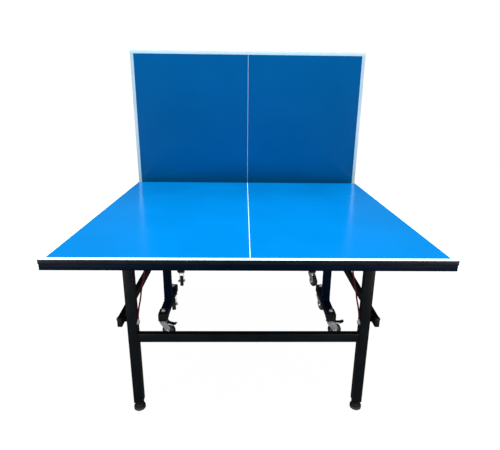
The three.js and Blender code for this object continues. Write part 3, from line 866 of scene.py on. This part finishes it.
def add_wheel(name, place):
    """A rubber tyre on a ribbed plastic hub, turning on its axle along the place's Y."""
    axle = place @ aim((CASTER_TRAIL, 0, WHEEL_RADIUS), (0, 1, 0))
    r, half = WHEEL_RADIUS, WHEEL_WIDTH / 2
    tyre = bmesh.new()
    side_wall = [(r - 0.0105, 0.0096), (r - 0.0085, 0.0112), (r - 0.0055, half), (r - 0.0026, half - 0.0006)]
    tread = [(r - 0.0006, half - 0.0026), (r, 0.0062), (r, 0.0022), (r - 0.0007, 0.0016), (r - 0.0007, 0)]
    upper = side_wall + tread
    profile = upper + [(x, -z) for x, z in reversed(upper[:-1])]
    lathe(tyre, Matrix(), profile, 64)
    add_piece(f"{name}_tyre", tyre, axle, f"{name}_wheel", WHEEL_RUBBER, [f"{name}_wheel"])

    hub = bmesh.new()
    web = [(0.0100, -0.0045), (r - 0.0100, -0.0045), (r - 0.0100, 0.0045), (0.0100, 0.0045)]
    lathe(hub, Matrix(), web, 48)
    for out in SIDES:
        rim = [(r - 0.0135, 0.003), (r - 0.0100, 0.003), (r - 0.0100, 0.0104)]
        rim += [(r - 0.0112, 0.0108), (r - 0.0135, 0.0100)]
        lathe(hub, Matrix.Scale(out, 4, (0, 0, 1)), rim, 48)
    lathe(hub, Matrix(), [(0.0063, -half), (0.0108, -half), (0.0116, 0), (0.0108, half), (0.0063, half)], 40)
    for spoke in range(6):
        turned = Matrix.Rotation(math.pi / 3 * spoke, 4, "Z")
        for z in (-0.0098, 0.0040):
            outline = rounded_outline(0.0145, 0.0022, 0.0008, (0.0172, 0), 3)
            prism(hub, turned, outline, z, z + 0.0058, 0.0003)
    add_piece(f"{name}_hub", hub, axle, f"{name}_wheel", HUB_PLASTIC)


def add_pedal(name, place):
    """The moulded brake pedal: a broad tread that turns up at its tip, with ribs across it."""
    pressed = math.radians(PEDAL_PRESSED.get(name, 0))
    pivot = place @ Matrix.Translation((PEDAL_PIVOT[0], 0, PEDAL_PIVOT[1])) @ Matrix.Rotation(pressed, 4, "Y")
    half = CHEEK_Y[0] - 0.002
    sections = [
        (-0.0062, 0.0010, 0.0060, half * 0.80),
        (-0.0040, 0.0012, 0.0088, half * 0.92),
        (0.0060, 0.0014, 0.0098, half),
        (0.0160, 0.0014, 0.0096, half),
        (0.0300, 0.0014, 0.0072, half * 1.02),
        (0.0440, 0.0022, 0.0056, half * 1.08),
        (0.0520, 0.0040, 0.0052, half * 1.10),
        (0.0580, 0.0066, 0.0050, half * 1.06),
        (0.0618, 0.0090, 0.0044, half * 0.92),
        (PEDAL_REACH - 0.0010, 0.0102, 0.0030, half * 0.70),
    ]
    bm = bmesh.new()
    rings = []
    for x, z, height, width in sections:
        outline = rounded_outline(2 * width, height, min(0.0022, height * 0.45), (0, z), 4)
        rings.append([Vector((x, y, up)) for y, up in outline])
    add_rings(bm, rings)
    for rib in range(5):
        x = 0.0385 + rib * 0.0042
        z = 0.0044 + 0.0021 * max(0, rib - 1.2) ** 1.25
        sweep(bm, [(x, -half * 0.82, z), (x, half * 0.82, z)], 0.0009, 8)
    body = f"{name}_brake"
    add_piece(f"{name}_pedal", bm, pivot, body, BLACK_PLASTIC, [f"{name}_brake_pedal"])
    # The lever's plates are in the near-white zinc, a painted highlight on the pedal.
    lever = bmesh.new()
    edge = half + 0.0006
    plate_bottom = -0.0041
    for low, high in (((-0.006, -edge, plate_bottom), (0.047, edge, plate_bottom + 0.0018)),
                      ((-0.006, -edge, plate_bottom), (0.045, -edge + 0.0014, 0.0044)),
                      ((-0.006, edge - 0.0014, plate_bottom), (0.045, edge, 0.0044))):
        tube(lever, low, high, 0, 0.0006, 0.0003)
    add_piece(f"{name}_pedal_lever", lever, pivot, body, ZINC_WITH_PAINTED_HIGHLIGHT)


def add_casters(half, places):
    turn = 0 if places["outward"] > 0 else math.pi
    for end, direction in (("end", 1), ("net", -1)):
        for side in SIDES:
            name = f"{half}_{end}_{side_name(half, side)}"
            kingpin = Vector((side * sum(POST_X) / 2, POST_OUT + direction * CASTER_SPREAD, 0))
            heading = math.radians(HEADINGS[name]) - turn
            place = places["carriage"] @ Matrix.Translation(kingpin) @ Matrix.Rotation(heading, 4, "Z")
            add_fork(name, place)
            add_wheel(name, place)
            if end == "end":
                add_pedal(name, place)


# --- release cables -------------------------------------------------------------------------------

def between(before, start, end, after, share):
    """The point at a share of the way from start to end, on the centripetal Catmull-Rom curve."""
    knots = [0.0]
    for a, b in ((before, start), (start, end), (end, after)):
        knots.append(knots[-1] + (b - a).length ** 0.5)
    t = knots[1] + (knots[2] - knots[1]) * share
    level = [before, start, end, after]
    for spans in (((0, 1), (1, 2), (2, 3)), ((0, 2), (1, 3)), ((1, 2),)):
        shares = [(t - knots[a]) / (knots[b] - knots[a]) for a, b in spans]
        level = [a.lerp(b, part) for a, b, part in zip(level, level[1:], shares)]
    return level[0]


def smooth_route(points, steps=8):
    """The smooth curve through the points, as close steps."""
    points = [Vector(point) for point in points]
    padded = [2 * points[0] - points[1], *points, 2 * points[-1] - points[-2]]
    route = []
    for i in range(len(points) - 1):
        route += [between(*padded[i:i + 4], step / steps) for step in range(steps)]
    return [*route, points[-1]]


def add_cables(half, places):
    """The cables: each sheath is swept along its route from its bolt on the leg frame to its clip on the top.
    """
    top_body, leg_body = f"{half}_top", f"{half}_leg_frame"
    bolts = bmesh.new()
    clips = bmesh.new()
    into_leg = places["leg_frame"].inverted() @ places["carriage"]
    into_top = places["top"].inverted() @ places["carriage"]
    for side in SIDES:
        node = f"{half}_{side_name(half, side)}_release_cable"
        route = [Vector((side * x, out, up)) for out, up, x in CABLE_ROUTES[half]]
        path = smooth_route(route)
        bm = bmesh.new()
        sweep(bm, path, SHEATH_RADIUS, 12)
        cable = add_piece(f"{node}_sheath", bm, places["carriage"], None, CABLE_SHEATH, [node])
        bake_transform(cable)

        low = [into_leg @ point for point in path[:4]]
        sweep(bolts, [low[0] - (low[1] - low[0]) * 1.2, *low], 0.0042, 16)
        eye = along_x(-side, -LEG_X[0], 0, 0)
        eye.translation = Vector((side * LEG_X[0], low[0].y, low[0].z - 0.006))
        hex_head(bolts, eye, 0.014, 0.0072, 0.0098)

        high = [into_top @ point for point in path[-4:]]
        sweep(clips, high, 0.0042, 16)
        clip_low = Vector((RAIL_X[0], high[-1].y - 0.007, high[-1].z - 0.003))
        clip_high = Vector((RAIL_X[1] - 0.002, high[-1].y + 0.007, high[-1].z + 0.0055))
        clip_low.x, clip_high.x = sorted((side * clip_low.x, side * clip_high.x))
        tube(clips, clip_low, clip_high, 1, 0.0018, 0.0008)
    add_piece(f"{half}_cable_bolts", bolts, places["leg_frame"], leg_body, ZINC_WITH_PAINTED_HIGHLIGHT)
    add_piece(f"{half}_cable_clips", clips, places["top"], top_body, ZINC)


# --- the whole table ------------------------------------------------------------------------------

for half in HALVES:
    places = FRAMES[half]
    add_board(half, places, f"{half}_top")
    add_aprons(half, places, f"{half}_top")
    add_rails(half, places, f"{half}_top")
    add_board_screws(half, places, f"{half}_top")
    add_legs(half, places, f"{half}_leg_frame")
    add_feet(half, places)
    add_links(half, places)
    add_carriage(half, places, f"{half}_carriage")
    add_casters(half, places)
    add_cables(half, places)


# --- floor, backdrop and light --------------------------------------------------------------------

def add_plane(name, place, size, material):
    bm = bmesh.new()
    half = size / 2
    corners = [(-half, -half, 0), (half, -half, 0), (half, half, 0), (-half, half, 0)]
    bm.faces.new([bm.verts.new(place @ Vector(corner)) for corner in corners])
    mesh = bpy.data.meshes.new(name)
    bm.to_mesh(mesh)
    bm.free()
    mesh.materials.append(material)
    plane = bpy.data.objects.new(name, mesh)
    bpy.context.scene.collection.objects.link(plane)
    return plane


def add_light(name, place, target, size, power):
    data = bpy.data.lights.new(name, "AREA")
    data.shape = "RECTANGLE"
    data.size, data.size_y = size
    data.energy = power
    light = bpy.data.objects.new(name, data)
    light.matrix_world = aim(place, Vector(place) - Vector(target))
    bpy.context.scene.collection.objects.link(light)


def background(nodes, strength):
    """A plain white background of one strength."""
    node = nodes.new("ShaderNodeBackground")
    node.inputs["Color"].default_value = (1, 1, 1, 1)
    node.inputs["Strength"].default_value = strength
    return node


def add_world(light, shine):
    """A studio whose walls the camera sees white, with dimmer light on the table and in its reflections."""
    world = bpy.data.worlds.new("studio")
    world.use_nodes = True
    nodes = world.node_tree.nodes
    links = world.node_tree.links
    nodes.clear()
    output = nodes.new("ShaderNodeOutputWorld")
    rays = nodes.new("ShaderNodeLightPath")
    pick = nodes.new("ShaderNodeMixShader")
    lit = nodes.new("ShaderNodeMixShader")
    soft = background(nodes, light)
    mirrored = background(nodes, shine)
    white = background(nodes, 1.0)
    links.new(rays.outputs["Is Camera Ray"], pick.inputs["Fac"])
    links.new(rays.outputs["Is Glossy Ray"], lit.inputs["Fac"])
    links.new(soft.outputs["Background"], lit.inputs[1])
    links.new(mirrored.outputs["Background"], lit.inputs[2])
    links.new(lit.outputs["Shader"], pick.inputs[1])
    links.new(white.outputs["Background"], pick.inputs[2])
    links.new(pick.outputs["Shader"], output.inputs["Surface"])
    bpy.context.scene.world = world


FLOOR_SIZE = 40
FLOOR_DROP = 0.0002  # keeps the floor just under the wheels and feet
FLOOR_GLOW = 0.985
STUDIO_LIGHT = 0.34
STUDIO_SHINE = 0.06
KEY_POWER = 1880
LOW_POWER = 28

FLOOR_PAINT = surface_material(
    "floor_paint", srgb(58, 58, 58), srgb(62, 62, 62), (2, 60), (0.7, 0.8), (0.05, 0.0004), specular=0.1)
floor_shader = FLOOR_PAINT.node_tree.nodes["Principled BSDF"]
floor_shader.inputs["Emission Color"].default_value = (1, 1, 1, 1)
floor_shader.inputs["Emission Strength"].default_value = FLOOR_GLOW

floor = add_plane("floor", Matrix.Translation((0, 0, -FLOOR_DROP)), FLOOR_SIZE, FLOOR_PAINT)
floor.visible_diffuse = False
floor.visible_glossy = False
add_world(STUDIO_LIGHT, STUDIO_SHINE)
add_light("key", (0, -0.2, 8.0), (0, 0, 0.8), (5.0, 3.4), KEY_POWER)
for side in SIDES:
    add_light(f"low_{side_name('rear', side)}", (side * 2.5, -3.0, 0.6), (0, 0, 0.3), (0.4, 0.4), LOW_POWER)
bpy.context.scene.view_settings.view_transform = "Standard"
